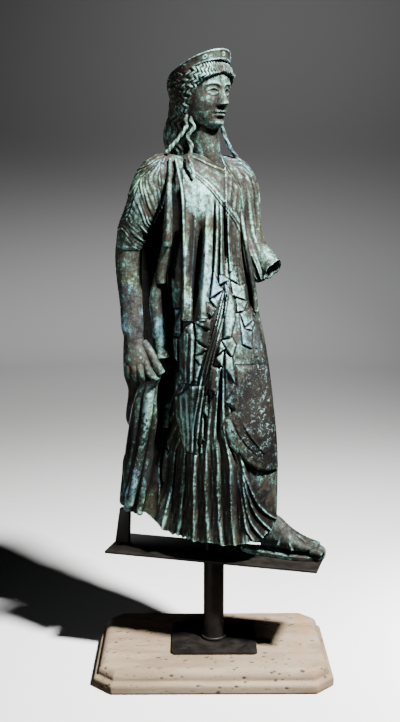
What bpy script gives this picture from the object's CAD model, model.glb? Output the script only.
"""Bronze goddess on a black steel stand over a travertine block. Metres, +Z up, seen from -Y."""
import math

import bmesh
import bpy
import numpy as np
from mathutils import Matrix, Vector


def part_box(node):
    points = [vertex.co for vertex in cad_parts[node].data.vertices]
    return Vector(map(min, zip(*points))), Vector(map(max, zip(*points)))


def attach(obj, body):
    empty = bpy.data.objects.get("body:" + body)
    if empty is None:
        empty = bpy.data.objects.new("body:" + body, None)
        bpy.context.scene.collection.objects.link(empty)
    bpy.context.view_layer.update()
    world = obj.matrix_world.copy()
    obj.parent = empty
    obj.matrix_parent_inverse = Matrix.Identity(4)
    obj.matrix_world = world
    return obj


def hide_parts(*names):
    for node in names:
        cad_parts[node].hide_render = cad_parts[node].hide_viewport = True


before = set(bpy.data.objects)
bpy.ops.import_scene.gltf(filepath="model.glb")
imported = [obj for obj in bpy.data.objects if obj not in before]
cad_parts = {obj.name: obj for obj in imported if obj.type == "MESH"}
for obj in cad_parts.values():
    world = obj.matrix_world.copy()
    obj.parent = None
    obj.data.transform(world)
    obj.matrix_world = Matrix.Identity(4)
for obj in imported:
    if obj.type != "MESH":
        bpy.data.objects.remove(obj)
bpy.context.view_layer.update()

MM = 0.001

# Draped body. Each row: height, centre x, centre y, half width, half depth, turn in degrees.
TORSO = [
    [250, 18, -8, 68, 103, 72], [400, 21, -6, 74, 101, 66], [500, 19, -4, 80, 96, 60],
    [580, 14, -4, 86, 86, 56], [640, 7, -6, 88, 77, 54], [700, -3, -6, 89, 68, 50],
    [760, -11, -6, 86, 61, 45], [820, -17, -8, 86, 58, 40], [878, -23, -8, 92, 58, 37],
    [900, -27, -4, 93, 50, 37], [915, -26, 0, 84, 42, 37], [929, -23, 3, 60, 35, 37],
    [940, -19, 5, 39, 31, 37], [950, -16, 6, 26, 24, 37],
]
REAR_CLOTH = [
    [250, -78, 25, 104, 50, -15], [345, -75, 26, 96, 48, -15], [387, -75, 27, 92, 48, -15],
    [430, -73, 28, 77, 46, -15], [461, -76, 30, 85, 44, -15], [514, -76, 32, 79, 42, -14],
    [545, -78, 34, 85, 40, -14], [625, -84, 40, 76, 36, -12], [784, -84, 46, 66, 32, 0],
    [880, -68, 36, 58, 34, 25], [924, -46, 16, 44, 30, 36], [950, -16, 8, 26, 22, 37],
]
BODY_TOP = 950
BODY_AXIS = (-28, 8)
NECK_AXIS = (-16, 6)
NECK_LEAN_FROM = 880
LOBE_BLEND = 12
FRONT_SPAN = 3.4
FRONT_FADE = 2.5
FRONT_SHARE = 0.72
HOLLOW_TOP = 430
WALL = 7

# Front hem line, as x and height, the height of the hem behind, and a height to measure the hem's reach at.
HEM_LINE = [
    [-182, 299], [-150, 288], [-132, 292], [-105, 275], [-80, 262], [0, 257], [60, 258], [90, 266],
    [120, 290],
]
HEM_BACK = 282
HEM_GUESS = 265

# Arms. Each row: x, y, height, half width, half depth. The left forearm is broken off.
RIGHT_SLEEVE = [
    [-52, -26, 929, 14, 12], [-77, -42, 922, 28, 24], [-97, -50, 909, 31, 34], [-111, -52, 886, 31.5, 38],
    [-120, -50, 862, 29.5, 37], [-130, -48, 839, 27, 34], [-142, -44, 813, 25, 29], [-146, -42, 794, 24, 25],
    [-147, -42, 782, 22.5, 23],
]
RIGHT_FOREARM = [
    [-141, -40, 820, 20, 20], [-148, -38, 785, 23.5, 23], [-149, -40, 743, 22.5, 22],
    [-145, -46, 687, 20, 19], [-143, -54, 648, 19.5, 17], [-140, -59, 628, 16.5, 14],
    [-137, -62, 610, 17, 13],
]
LEFT_SLEEVE = [
    [-8, 22, 937, 6, 6], [12, 36, 929, 17, 16], [34, 48, 913, 30, 29], [46, 50, 884, 35, 36],
    [53, 44, 840, 32, 33], [60, 34, 795, 28, 30], [70, 20, 762, 26, 27], [80, 8, 738, 17, 20],
    [86, 2, 722, 9, 10],
]
LEFT_STUB = [
    [60, 34, 806, 25, 27], [74, 27, 776, 25, 26], [88, 18, 759, 24, 24], [99, 9, 749, 21.5, 22.5],
    [108, 2, 742, 20, 21],
]
NECK = [
    [-15, 4, 912, 28, 24], [-15, 4, 935, 28, 26], [-16, 3, 955, 28, 29], [-18, 2, 978, 28, 30],
    [-20, 0, 1015, 28, 30],
]

# Hanging folds that stand clear of the chest, from the brooch on the right shoulder.
HANGING_FOLDS = [
    [[-75, -70, 937, 3, 5], [-76, -80, 908, 4, 6], [-77, -85, 882, 5, 8], [-78, -86, 850, 6.5, 10],
     [-79, -86, 825, 7.5, 12], [-80, -85, 803, 8, 12], [-81, -84, 790, 7, 11]],
    [[-79, -70, 808, 6, 8], [-84, -66, 785, 7.5, 9], [-89, -62, 760, 8.5, 9], [-92, -59, 740, 9, 9],
     [-92, -58, 724, 8, 8]],
    [[-97, -54, 742, 6, 8], [-101, -52, 712, 9, 9], [-102, -50, 686, 11, 9], [-98, -48, 655, 12, 10],
     [-95, -46, 625, 12.5, 10], [-91, -45, 590, 13.5, 10]],
    [[-66, -66, 937, 2.5, 4], [-60, -76, 908, 2.5, 5], [-55, -79, 880, 2.6, 7], [-52.5, -80, 830, 2.8, 9],
     [-51.5, -80, 760, 3.2, 11], [-52, -79, 700, 3.8, 12], [-53, -78, 664, 4.2, 12]],
    [[46, -20, 850, 3, 5], [51, -24, 820, 4, 8], [58, -26, 780, 4.8, 11], [66, -27, 735, 5.4, 13],
     [71, -27, 700, 6, 14], [74, -27, 670, 6.4, 14]],
    [[-99, -66, 576, 6, 8], [-112, -50, 548, 14, 14], [-124, -34, 505, 20, 22], [-130, -20, 455, 24, 26],
     [-136, -10, 400, 26, 26], [-142, -2, 350, 24, 24], [-148, 4, 312, 16, 16]],
]
BUTTONS = [
    [-70, 960], [-80, 945], [-116, 913], [-125, 901], [-138, 868], [-147, 842], [-158, 826], [-164, 786],
]

# Drapery on the front, as x and height, drawn from the top down.
MANTLE_BORDER = [[-71, 940], [-36, 918], [-2, 891], [27, 855], [48, 828], [60, 800]]
NECKLINE = [[-46, 949], [-12, 932], [17, 920], [25, 931], [38, 950]]


def spline(rows, key):
    """Rows [key, values...] read at many keys, along a smooth curve through them."""
    rows = np.asarray(rows, float)
    keys, values = rows[:, 0], rows[:, 1:]
    key = np.clip(np.asarray(key, float), keys[0], keys[-1])
    i = np.clip(np.searchsorted(keys, key, "right") - 1, 0, len(keys) - 2)
    before, after = np.maximum(i - 1, 0), np.minimum(i + 2, len(keys) - 1)
    span = (keys[i + 1] - keys[i])[..., None]
    t = ((key - keys[i]) / (keys[i + 1] - keys[i]))[..., None]
    rise = (values[i + 1] - values[before]) / (keys[i + 1] - keys[before])[..., None] * span
    fall = (values[after] - values[i]) / (keys[after] - keys[i])[..., None] * span
    return ((2 * t**3 - 3 * t**2 + 1) * values[i] + (t**3 - 2 * t**2 + t) * rise
            + (3 * t**2 - 2 * t**3) * values[i + 1] + (t**3 - t**2) * fall)


def curve(rows, key):
    """The one value of rows [key, value] read along a smooth curve."""
    return spline(rows, key)[..., 0]


def line_x(points, z):
    """The x of a line of [x, height] points at a height."""
    return curve([[-height, x] for x, height in points], -np.asarray(z, float))


def mix(a, b, t):
    return a + (b - a) * t


def unit(value):
    """A value held between 0 and 1."""
    return np.clip(value, 0, 1)


def smooth(value, low, high):
    t = unit((value - low) / (high - low))
    return t * t * (3 - 2 * t)


def bump(distance):
    return np.exp(-distance * distance)


def dome(distance, half, power=1.0):
    """1 in the middle, falling to 0 at a half width."""
    return unit(1 - (distance / half) ** 2) ** power


def zigzag(across):
    """1 in the middle of each whole step, 0 at its sides."""
    return 1 - np.abs(2 * (across % 1) - 1)


def hashed(n):
    """A repeatable number from 0 to 1 for a whole number."""
    value = np.sin(np.asarray(n, float) * 12.9898) * 43758.5453
    return value - np.floor(value)


def oval_reach(x, y, dx, dy, oval):
    """How far an oval reaches from a point in a direction."""
    cx, cy, a, b, turn = (oval[..., k] for k in range(5))
    c, s = np.cos(np.radians(turn)), np.sin(np.radians(turn))
    px, py = (x - cx) * c + (y - cy) * s, -(x - cx) * s + (y - cy) * c
    qx, qy = dx * c + dy * s, -dx * s + dy * c
    square = (qx / a) ** 2 + (qy / b) ** 2
    half = px * qx / a**2 + py * qy / b**2
    root = half**2 - square * ((px / a) ** 2 + (py / b) ** 2 - 1)
    return np.where(root > 0, np.maximum((-half + np.sqrt(np.maximum(root, 0))) / square, 0), 0)


def body_axis(z):
    """The upright axis of the body, leaning to the neck above the breast."""
    lean = smooth(z, NECK_LEAN_FROM, BODY_TOP)
    return mix(BODY_AXIS[0], NECK_AXIS[0], lean), mix(BODY_AXIS[1], NECK_AXIS[1], lean)


def body_reach(z, dx, dy):
    x, y = body_axis(z)
    torso = oval_reach(x, y, dx, dy, spline(TORSO, z))
    cloth = oval_reach(x, y, dx, dy, spline(REAR_CLOTH, z))
    return (torso**LOBE_BLEND + cloth**LOBE_BLEND) ** (1 / LOBE_BLEND)


def hem_height(x, y):
    front = curve(HEM_LINE, x)
    return mix(front, np.maximum(front, HEM_BACK), smooth(y, 0, 45))


def read(items, field, width, kind=np.float32):
    """One field of all of a mesh's vertices or edges, as a table."""
    flat = np.empty(len(items) * width, kind)
    items.foreach_get(field, flat)
    return flat.reshape(-1, width)


def points_of(mesh):
    return read(mesh.vertices, "co", 3).astype(float)


def normals_of(mesh):
    return read(mesh.vertex_normals, "vector", 3).astype(float)


def place_points(mesh, points):
    mesh.vertices.foreach_set("co", points.astype(np.float32).ravel())
    mesh.update()


def wrap(columns, rows, place, ring=False):
    """A closed skin from a grid. u runs round it and v from end to end, where it draws in to a point.
    A ring has no ends: its v runs round as well."""
    bm = bmesh.new()
    bmesh.ops.create_grid(bm, x_segments=columns, y_segments=rows, size=0.5)
    mesh = bpy.data.meshes.new("skin")
    bm.to_mesh(mesh)
    bm.free()
    grid = read(mesh.vertices, "co", 3) + 0.5
    joined = np.where(grid > 0.9999, 0, grid)
    place_points(mesh, place(joined[:, 0], joined[:, 1] if ring else grid[:, 1]) * MM)
    bm = bmesh.new()
    bm.from_mesh(mesh)
    bpy.data.meshes.remove(mesh)
    bmesh.ops.remove_doubles(bm, verts=[v for v in bm.verts if v.is_boundary], dist=1e-6)
    bmesh.ops.dissolve_degenerate(bm, edges=bm.edges, dist=1e-7)
    bmesh.ops.recalc_face_normals(bm, faces=bm.faces)
    return bm


def from_ends(v, share):
    """0 at both ends of a skin, 1 once a share of it has gone by."""
    return unit(np.minimum(v, 1 - v) / share)


def loft(rows, sides, steps, across=(1, 0, 0), relief=None, cap=0.05, hollow=0.0):
    """A limb of oval sections through rows of x, y, height, half width and half depth, round at both ends.
    A hollow one has a broken open end, and its skin runs back inside by that share of its length."""
    table = [[i, *row] for i, row in enumerate(rows)]
    across = np.array(across, float)

    def place(u, v):
        mouth = 1 - hollow * 0.5
        out = unit(v / mouth)
        back = unit((v - mouth) / (1 - mouth)) if hollow else np.zeros(v.shape)
        angle = u * 2 * math.pi
        broken = hollow * 0.08 * (np.sin(3 * angle) + 0.6 * np.sin(7 * angle + 1))
        t = unit((out - cap * 0.5) / (1 - cap)) - hollow * back + broken * smooth(out, 0.8, 1) * (1 - back)
        t = unit(t) * (len(rows) - 1)
        here = spline(table, t)
        along = spline(table, t + 0.02)[:, :3] - spline(table, t - 0.02)[:, :3]
        along /= np.linalg.norm(along, axis=1, keepdims=True)
        wide = across - along * (along @ across)[:, None]
        wide /= np.linalg.norm(wide, axis=1, keepdims=True)
        deep = np.cross(along, wide)
        draw = np.sqrt(1 - (1 - from_ends(v, cap)) ** 2) * mix(1, 0.8, smooth(back, 0, 0.1))
        extra = relief(angle, t, here) if relief else 0
        a, b = (here[:, 3] + extra) * draw, (here[:, 4] + extra) * draw
        return here[:, :3] + wide * (a * np.cos(angle))[:, None] + deep * (b * np.sin(angle))[:, None]

    return wrap(sides, steps, place)


# Layers of cloth on the front. Outline as x and height, then how far it stands out at its top and its foot,
# and how softly its edge rounds off.
PANELS = [
    ([[8, 740], [15, 740], [26, 731], [8, 723]], 7, 11, 1),
    ([[-1, 747], [8, 723], [15, 715], [-8, 701]], 9, 13, 1),
    ([[-8, 699], [13, 709], [4, 684]], 6, 10, 1),
    ([[-13, 694], [-7, 694], [4, 684], [-4, 668], [-12, 675]], 7, 11, 1),
    ([[-34, 659], [-30, 666], [-4, 667], [-6, 647]], 7, 12, 1),
    ([[-33, 657], [-6, 647], [-11, 615], [-32, 631]], 5, 10, 1),
    ([[-32, 629], [-11, 615], [-13, 611], [-33, 602]], 6, 10, 1),
    ([[-33, 601], [-14, 610], [-23, 583], [-34, 597]], 5, 9, 1),
    ([[-35, 594], [-23, 582], [-30, 552], [-37, 558]], 4, 8, 1),
    ([[27, 731], [27, 756], [40, 752], [44, 721]], 3, 12, 2),
    ([[31, 704], [29, 729], [44, 720], [56, 722], [56, 693]], 5, 10, 1),
    ([[39, 675], [38, 700], [56, 693], [61, 693], [52, 676]], 4, 9, 1),
    ([[45, 672], [53, 676], [69, 679], [69, 658], [53, 649]], 4, 9, 1),
    ([[53, 646], [69, 657], [72, 653], [67, 641]], 4, 8, 1),
    ([[44, 670], [53, 646], [67, 640], [67, 610], [49, 620]], 3, 8, 1),
    ([[18, 726], [34, 705], [37, 664], [29, 634], [16, 633], [18, 699]], 5, 12, 3),
    ([[13, 629], [31, 633], [38, 620], [31, 599], [20, 615]], 6, 10, 1),
    ([[8, 620], [12, 627], [20, 615], [7, 605]], 5, 9, 1),
    ([[2, 598], [17, 611], [14, 582]], 5, 9, 1),
    ([[19, 610], [31, 599], [37, 552], [19, 580]], 4, 9, 1),
    ([[-6, 584], [13, 581], [8, 550], [3, 532], [-11, 542]], 5, 11, 2),
    ([[-21, 527], [-9, 534], [-11, 491], [-22, 503]], 6, 10, 1),
    ([[-30, 491], [-18, 495], [-17, 445], [-32, 470]], 7, 11, 1),
    ([[-69, 676], [-56, 679], [-57, 636], [-69, 636]], 9, 12, 1.5),
    ([[-62, 626], [-50, 650], [-37, 659], [-33, 633], [-36, 557], [-40, 548], [-52, 547], [-61, 573]],
     11, 16, 2),
    ([[-78, 624], [-63, 628], [-63, 584], [-77, 589]], 12, 16, 1.5),
    ([[-70, 515], [-52, 531], [-42, 545], [-16, 548], [-19, 452], [-30, 421], [-53, 421],
      [-59, 443], [-68, 478]],
     6, 11, 1.5),
    ([[38, 585], [71, 581], [134, 577], [137, 382], [91, 391], [77, 395], [55, 411], [26, 441], [16, 470],
      [18, 488], [34, 506], [19, 520], [38, 549]], 4, 9, 2.5),
]

# Long folds falling from the breast: crest line, reach to the left and to the right, height, share of the run
# over which it grows, and how hollow its flanks are.
LONG_FOLDS = [
    ([[-46, 880], [-49, 840], [-50, 783], [-52, 712], [-53, 662]], 4.5, 17, 13, 0.5, 1.5),
    ([[-8, 876], [-12, 801], [-15, 750], [-19, 700], [-21, 664]], 8, 14, 15, 0.75, 0.8),
    ([[5, 880], [5, 820], [3, 767], [-1, 725], [-4, 700]], 4, 4.5, 10, 0.4, 0.8),
    ([[11, 876], [12, 820], [12, 764], [12, 728]], 3, 4, 10, 0.4, 0.8),
    ([[24, 872], [24, 830], [25, 793], [28, 746]], 3.2, 9, 12, 0.35, 1.1),
    ([[38, 862], [42, 800], [46, 750], [53, 693]], 12, 9, 7, 0.5, 1.2),
    ([[52, 842], [58, 800], [65, 740], [75, 666]], 4.5, 10, 15, 0.5, 0.9),
    ([[-30, 872], [-35, 800], [-40, 730], [-42, 668]], 7, 7, 4, 0.6, 1.2),
]

# Fans of narrow folds between two lines: left line, right line, count, height.
FANS = [
    ([[20, 730], [-4, 642], [-25, 563], [-32, 524], [-40, 470], [-42, 423]],
     [[28, 730], [18, 664], [3, 607], [-9, 533], [-18, 445], [-19, 423]], 3, 9),
    ([[-66, 548], [-64, 500], [-57, 455], [-55, 421]], [[-20, 548], [-22, 500], [-27, 455], [-32, 421]],
     4, 4),
    ([[-60, 640], [-60, 600], [-58, 560], [-54, 540]], [[-34, 650], [-36, 600], [-38, 560], [-40, 540]],
     3, 4),
]

# Single ridges and grooves: line, half width, height (negative for a groove), share of the run that fades in.
STROKES = [
    ([[15, 872], [18, 826], [20, 742]], 2.6, -7, 0.4), ([[48, 821], [60, 749], [66, 668]], 3.4, -14, 0.1),
    ([[-22, 850], [-27, 770], [-31, 716], [-33, 660]], 8.5, -17, 0.3),
    ([[1, 868], [-1, 800], [-3, 745], [-10, 700]], 2.2, -7, 0.1),
    ([[10, 600], [11, 540], [8, 490], [5, 430]], 4.5, -11, 0.3),
    ([[-88, 505], [-93, 415], [-99, 318]], 22, -17, 0.3),
    ([[-52, 650], [-51, 600], [-50, 550]], 2.5, 4, 0.1), ([[48, 489], [66, 457], [90, 426]], 2.6, 3, 0.3),
    ([[30, 492], [42, 462], [66, 430], [88, 412]], 2.2, -2.4, 0.2),
    ([[52, 402], [66, 359], [85, 324], [117, 292]], 3.4, 6, 0.2),
    ([[50, 395], [60, 352], [76, 312], [108, 272]], 3.2, 5, 0.2),
    ([[47, 388], [55, 345], [66, 300], [90, 264]], 3, 5, 0.2),
    ([[45, 380], [50, 335], [58, 290], [72, 262]], 3, 4.5, 0.2),
]
HELD_RIDGES = [
    ([[-108, 556], [-116, 520], [-121, 478], [-130, 430], [-141, 372], [-152, 325], [-158, 292]], 9, 11,
     0.12),
    ([[-98, 545], [-104, 500], [-113, 440], [-124, 380], [-134, 310], [-136, 285]], 6, 6, 0.3),
    ([[-128, 556], [-134, 510], [-141, 450], [-152, 380], [-160, 330]], 7, 5, 0.3),
    ([[-84, 512], [-84, 482], [-86, 455]], 9, 8, 0.35),
]
HOLLOW_EDGE = [[-52, 930], [-53, 871], [-53, 783], [-56, 682], [-70, 640], [-78, 560]]
HOLLOW_DEPTH = 26
SKIRT_PITCH = [[250, 27], [405, 20], [470, 13], [560, 9]]
SKIRT_CENTRE = [[250, -3], [405, -2], [470, -4], [560, 0]]
SKIRT_FOLD = 10


def outline_distance(x, z, outline):
    """Distance to a closed outline, positive inside it."""
    points = np.asarray(outline, float)
    best = np.full(x.shape, 1e9)
    inside = np.zeros(x.shape, bool)
    for (ax, az), (bx, bz) in zip(points, np.roll(points, -1, axis=0)):
        run, rise = bx - ax, bz - az
        t = np.clip(((x - ax) * run + (z - az) * rise) / (run * run + rise * rise), 0, 1)
        best = np.minimum(best, np.hypot(x - ax - t * run, z - az - t * rise))
        if az != bz:
            inside ^= ((z < az) != (z < bz)) & (x < ax + (z - az) * run / rise)
    return np.where(inside, best, -best)


def panel_height(x, z, height):
    """Lays every cloth layer over the height so far, with a dark undercut line round it."""
    for outline, top_lift, foot_lift, softness in PANELS:
        points = np.asarray(outline, float)
        low, high = points.min(axis=0), points.max(axis=0)
        near = np.flatnonzero((x > low[0] - 6) & (x < high[0] + 6) & (z > low[1] - 6) & (z < high[1] + 6))
        if not len(near):
            continue
        away = outline_distance(x[near], z[near], outline)
        drop = unit((high[1] - z[near]) / (high[1] - low[1]))
        lift = 1.1 * mix(top_lift, foot_lift, drop**0.8) * (1 - np.exp(-np.maximum(away, 0) / softness))
        under = height[near] - 3.6 * bump(np.maximum(-away, 0) / 1.3)
        height[near] = np.where(away > 0, np.maximum(lift + 2, height[near]), under)
    return height


def stroke(x, z, line, half, height, fade):
    """One ridge, or a groove if its height is negative."""
    top, foot = line[0][1], line[-1][1]
    run = (top - z) / (top - foot)
    tail = max(fade, 0.3) if height < 0 else 0.03
    ends = smooth(run, 0, fade) * (1 - smooth(run, 1 - tail, 1.03))
    return height * dome(x - line_x(line, z), half) * ends


def long_fold(x, z, crest, left, right, height, growth, hollow):
    """One hanging fold: steep where it turns under, easy on the other side, and cut off square below."""
    top, foot = crest[0][1], crest[-1][1]
    run = (top - z) / (top - foot)
    across = x - line_x(crest, z)
    spread = mix(0.55, 1.15, unit(run))
    flank = unit(1 - np.where(across < 0, -across / (left * spread), across / (right * spread)))
    shape = flank**hollow * (1 - 0.25 * flank**3)
    return 1.33 * height * shape * smooth(run, 0, growth) * (1 - smooth(z, foot, foot - 1.5))


def fan(x, z, left, right, count, height):
    start, end = line_x(left, z), line_x(right, z)
    across = (x - start) / (end - start)
    inside = (across > 0) & (across < 1) & (z < left[0][1]) & (z > left[-1][1])
    bend = 0.75 + 0.25 * np.sin(z * 0.05 + np.floor(across * count) * 2)
    return np.where(inside, height * bend * (unit(zigzag(across * count)) ** 1.2 - 0.3), 0)


def skirt_folds(x, z):
    pitch = curve(SKIRT_PITCH, z)
    across = (x - curve(SKIRT_CENTRE, z)) / pitch + 0.15 * np.sin(z * 0.021 + x * 0.03)
    tall = 0.7 + 0.5 * hashed(np.floor(across))
    left = 1 - smooth(-x, 60, 95) * smooth(z, 335, 400)
    right = 1 - smooth(x, 50, 75)
    body = SKIRT_FOLD * tall * zigzag(across) ** 1.15 + 2.2 * zigzag(across * 2 + 0.3)
    body = body + 1.2 * zigzag(across * 3 + 0.7 * np.sin(z * 0.03))
    return body * np.minimum(pitch / 20, 1) * left * right


def side_hollow(x, z):
    """The mantle turns in deeply beside the breast, behind the folds that hang from the shoulder."""
    edge = line_x(HOLLOW_EDGE, z)
    inside = smooth(edge - x, 0, 3.5)
    outer = 1 - 0.6 * smooth(edge - x, 45, 75)
    return HOLLOW_DEPTH * inside * outer * (1 - smooth(z, 850, 925)) * smooth(z, 560, 660)


def front_relief(x, z):
    """Height of the drapery over the smooth body, seen from the front."""
    left_side = x > 20
    waist = np.where(left_side, 560, 590)
    height = mix(np.where(left_side, 4.0, 0.0), skirt_folds(x, z), 1 - smooth(z, waist - 60, waist))
    for fold in LONG_FOLDS:
        height = np.maximum(height, long_fold(x, z, *fold))
    height = panel_height(x, z, height)
    height = height + sum(fan(x, z, *row) for row in FANS) + sum(stroke(x, z, *row) for row in STROKES)
    height = height - side_hollow(x, z)
    over = smooth(z, 800, 812) * (1 - smooth(z, 912, 928))
    inward = line_x(MANTLE_BORDER, z) - x
    border = inward - 2
    seam = bump((border - 7) / 1.6) - bump((border - 10) / 1.4)
    height += over * (4 * bump(border / 4.5) + 1.6 * seam)
    far = np.sin(np.arctan2(x - 56, 1040 - z) * 95 + 0.8 * np.sin(z * 0.07)) * smooth(x, 20, 30)
    near = np.sin(np.arctan2(x + 84, 972 - z) * 40) * (1 - smooth(x, 10, 22))
    pleats = (np.maximum(far, -0.4) * 1.7 + near * 1.2) * smooth(-inward, 1, 6)
    return height + over * (pleats + 0.9 * near * smooth(-x, 20, 44) * smooth(z, 870, 915))


def collar_relief(x, z):
    """The raised edge of the tunic and the bare skin that lies lower inside it."""
    above = z - np.interp(x, *np.transpose(NECKLINE))
    return 3.5 * bump((above + 2.5) / 2.5) - 5 * smooth(above, -1, 1.5)


def back_relief(angle, z):
    """Long loose folds of the mantle down the back, and the step where its lower edge ends."""
    waves = np.sin(angle * 9 + 0.8 * np.sin(z * 0.011)) + 0.6 * np.sin(angle * 17 + 1.3 + z * 0.004)
    edge = 405 + 14 * np.abs(((angle * 3.1) % 1) * 2 - 1)
    mantle = smooth(z, edge - 1.5, edge + 1.5)
    skirt = 1.2 * np.sin(angle * 38)
    behind = smooth(np.sin(angle), 0.1, 0.5)
    return 3.2 * waves * smooth(z, 250, 330) + (5 * mantle + skirt * (1 - mantle)) * behind


def around(u):
    """The direction that each column of the body faces. Most of them lie evenly across the front."""
    slope = mix(-FRONT_SPAN, FRONT_SPAN, u / FRONT_SHARE)
    start, end = math.atan2(-1, FRONT_SPAN), math.atan2(-1, -FRONT_SPAN) + 2 * math.pi
    behind = mix(start, end, (u - FRONT_SHARE) / (1 - FRONT_SHARE))
    return np.where(u < FRONT_SHARE, np.arctan2(-1, slope), behind)


def draped_body(columns, rows):
    """Outer skin from the neck down to the hem, turned in there, and up the inside of the hollow."""
    outer = 0.8

    def place(u, v):
        angle = around(u)
        dx, dy = np.cos(angle), np.sin(angle)
        guess = body_reach(np.full(u.shape, HEM_GUESS), dx, dy)
        hem = hem_height(BODY_AXIS[0] + dx * guess, BODY_AXIS[1] + dy * guess)
        hem = hem + 1.5 * np.sin(angle * 31) + 1.2 * np.sin(angle * 13)
        inside = v > outer
        up = unit((v - outer) / (1 - outer))
        z = np.where(inside, mix(hem, HOLLOW_TOP, up), mix(BODY_TOP, hem, unit(v / outer)))
        axis_x, axis_y = body_axis(z)
        reach = body_reach(z, dx, dy)
        reach = np.where(inside, reach * mix(1, 0.7, up) - WALL * smooth(up, 0, 0.04) * (1 - up), reach)
        drawn_in = (v < 1e-4) | (v > 0.9999)
        reach = np.where(drawn_in, 0, reach)
        x, y = axis_x + dx * reach, axis_y + dy * reach
        aside = np.abs(dx / np.minimum(dy, -1e-6))
        frontness = np.where(dy < 0, 1 - smooth(aside, FRONT_FADE, FRONT_SPAN), 0)
        calm, collar = (smooth(BODY_TOP - z, 0, fade) * ~drawn_in for fade in (40, 14))
        depth = frontness * (calm * front_relief(x, z) + collar * collar_relief(x, z))
        depth = np.where(inside, np.minimum(depth, 0), depth)
        wave = np.where(inside, 0, back_relief(angle, z) * (1 - frontness) * calm)
        return np.stack([x + dx * wave, y + dy * wave - depth, z], axis=1)

    return wrap(columns, rows, place)


# Head, in its own frame: x to the figure's left, y forward, z up from the chin, millimetres.
HEAD = {"turn": math.radians(-135), "x": -22, "y": -1, "z": 988}
# Height, half width, depth in front, depth behind.
SKULL = [
    [-2, 10, 30, 4], [3, 18, 40, 8], [9, 25, 45, 16], [17, 31, 45.5, 24], [26, 35, 46.5, 33],
    [40, 39, 47.5, 43], [62, 43, 49, 54], [78, 43.5, 51.5, 57], [92, 43, 51, 57], [106, 38, 44, 50],
    [118, 28, 32, 38], [126, 14, 16, 20],
]
# Where the face ends and the hair begins: height, degrees from the front.
FACE_EDGE = [
    [-10, 88], [20, 84], [37, 76], [60, 63], [70, 55], [78, 45], [85, 33], [90, 17], [93, 0], [97, -14],
    [104, -34],
]
CROWN = {"height": 100, "slope": 0.42}
HAIR = {"strand": 6.2, "fine": 2.2, "radius": 50}
# Rounded rises and hollows of the face: distance from the middle, height, half width, half height, rise.
# Cheeks, temples, lips, chin, under the lip, corners of the mouth, groove, nostrils, eye sockets.
FACE_FORMS = [
    [25, 47, 10, 12, 2.6], [40, 78, 8, 10, -1.6], [0, 26, 15, 9, 1.6], [0, 8, 11, 8, 4.2],
    [0, 16.5, 10, 3.4, -2.2], [14.5, 26, 2.4, 2.6, -1.2], [0, 34, 1.8, 3, -0.7], [4.2, 37.8, 1.9, 1.8, -3.2],
    [16.5, 64, 11.5, 8, -5.2],
]
# How far the nose stands out, and its half width, from under its tip to the brow.
NOSE_HEIGHT = [[34, 0], [37.5, 1], [39, 9], [41, 14.5], [44, 15.5], [50, 12], [58, 7.5], [66, 4.5],
               [74, 1.5], [80, 0]]
NOSE_WIDTH = [[34, 8], [41, 6.5], [48, 5.6], [60, 4.4], [80, 6]]
EYE = {"side": 16.5, "height": 62.4, "brow": 71.5}
LIPS = {"upper": 29.2, "lower": 22.6, "parting": 25.9}
DIADEM = {"height": 100, "front_slope": 0.47, "back_slope": 0.42, "width": 47, "front": 55, "back": 58,
          "tall": 17, "thick": 3.6}
ROUNDELS = [-160, -120, -80, -40, 0, 40, 80, 120, 160]
NAPE = [
    [-46, 23, 1062, 25, 31], [-49, 26, 1040, 27, 32], [-54, 30, 1005, 26, 34], [-60, 30, 978, 28, 36],
    [-60, 30, 958, 24, 34], [-56, 30, 944, 20, 30],
]
LOCKS = [
    [[-42, -20, 1016, 3, 3], [-49, -36, 1004, 3.2, 3.4], [-48, -46, 991, 3.2, 3.6],
     [-57, -50, 977, 3.2, 3.4], [-67, -54, 964, 3.2, 3.4], [-75, -58, 955, 3.4, 3.6],
     [-81, -60, 946, 3.2, 3.2]],
    [[-37, -22, 1014, 3, 3], [-40, -33, 1003, 3.4, 3.4], [-35, -38, 990, 3.4, 3.6],
     [-45, -41, 975, 3.4, 3.6], [-39, -46, 957, 3.4, 3.6], [-43, -57, 938, 3.4, 3.4],
     [-37, -67, 918, 3.2, 3.2], [-35, -70, 904, 2.6, 2.6]],
    [[8, 14, 1018, 3.2, 3.2], [13, 18, 1002, 3.4, 3.4], [18, 18, 982, 3.6, 3.6], [28, 24, 959, 3.6, 3.6],
     [41, 34, 941, 3.6, 3.6], [54, 36, 927, 3.4, 3.4], [69, 34, 906, 2.8, 2.8]],
]


def turned_to(points, turn, x, y, z):
    """Points turned about the upright axis and then moved."""
    c, s = math.cos(turn), math.sin(turn)
    a, b, up = points.T
    return np.stack([x + c * a - s * b, y + s * a + c * b, z + up], axis=1)


def mound(x, h, middle, height, wide, tall, rise):
    """A rounded rise, or a hollow if it is negative, on both sides of the middle line."""
    return rise * bump(np.hypot((np.abs(x) - middle) / wide, (h - height) / tall))


def nose(x, h):
    half = curve(NOSE_WIDTH, h)
    ridge = curve(NOSE_HEIGHT, h) * dome(x, half * 1.7, 0.8)
    wings = mound(x, h, 7.4, 41.5, 3.6, 4.2, 5)
    return np.maximum(ridge, wings) + 0.35 * np.minimum(ridge, wings)


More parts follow.
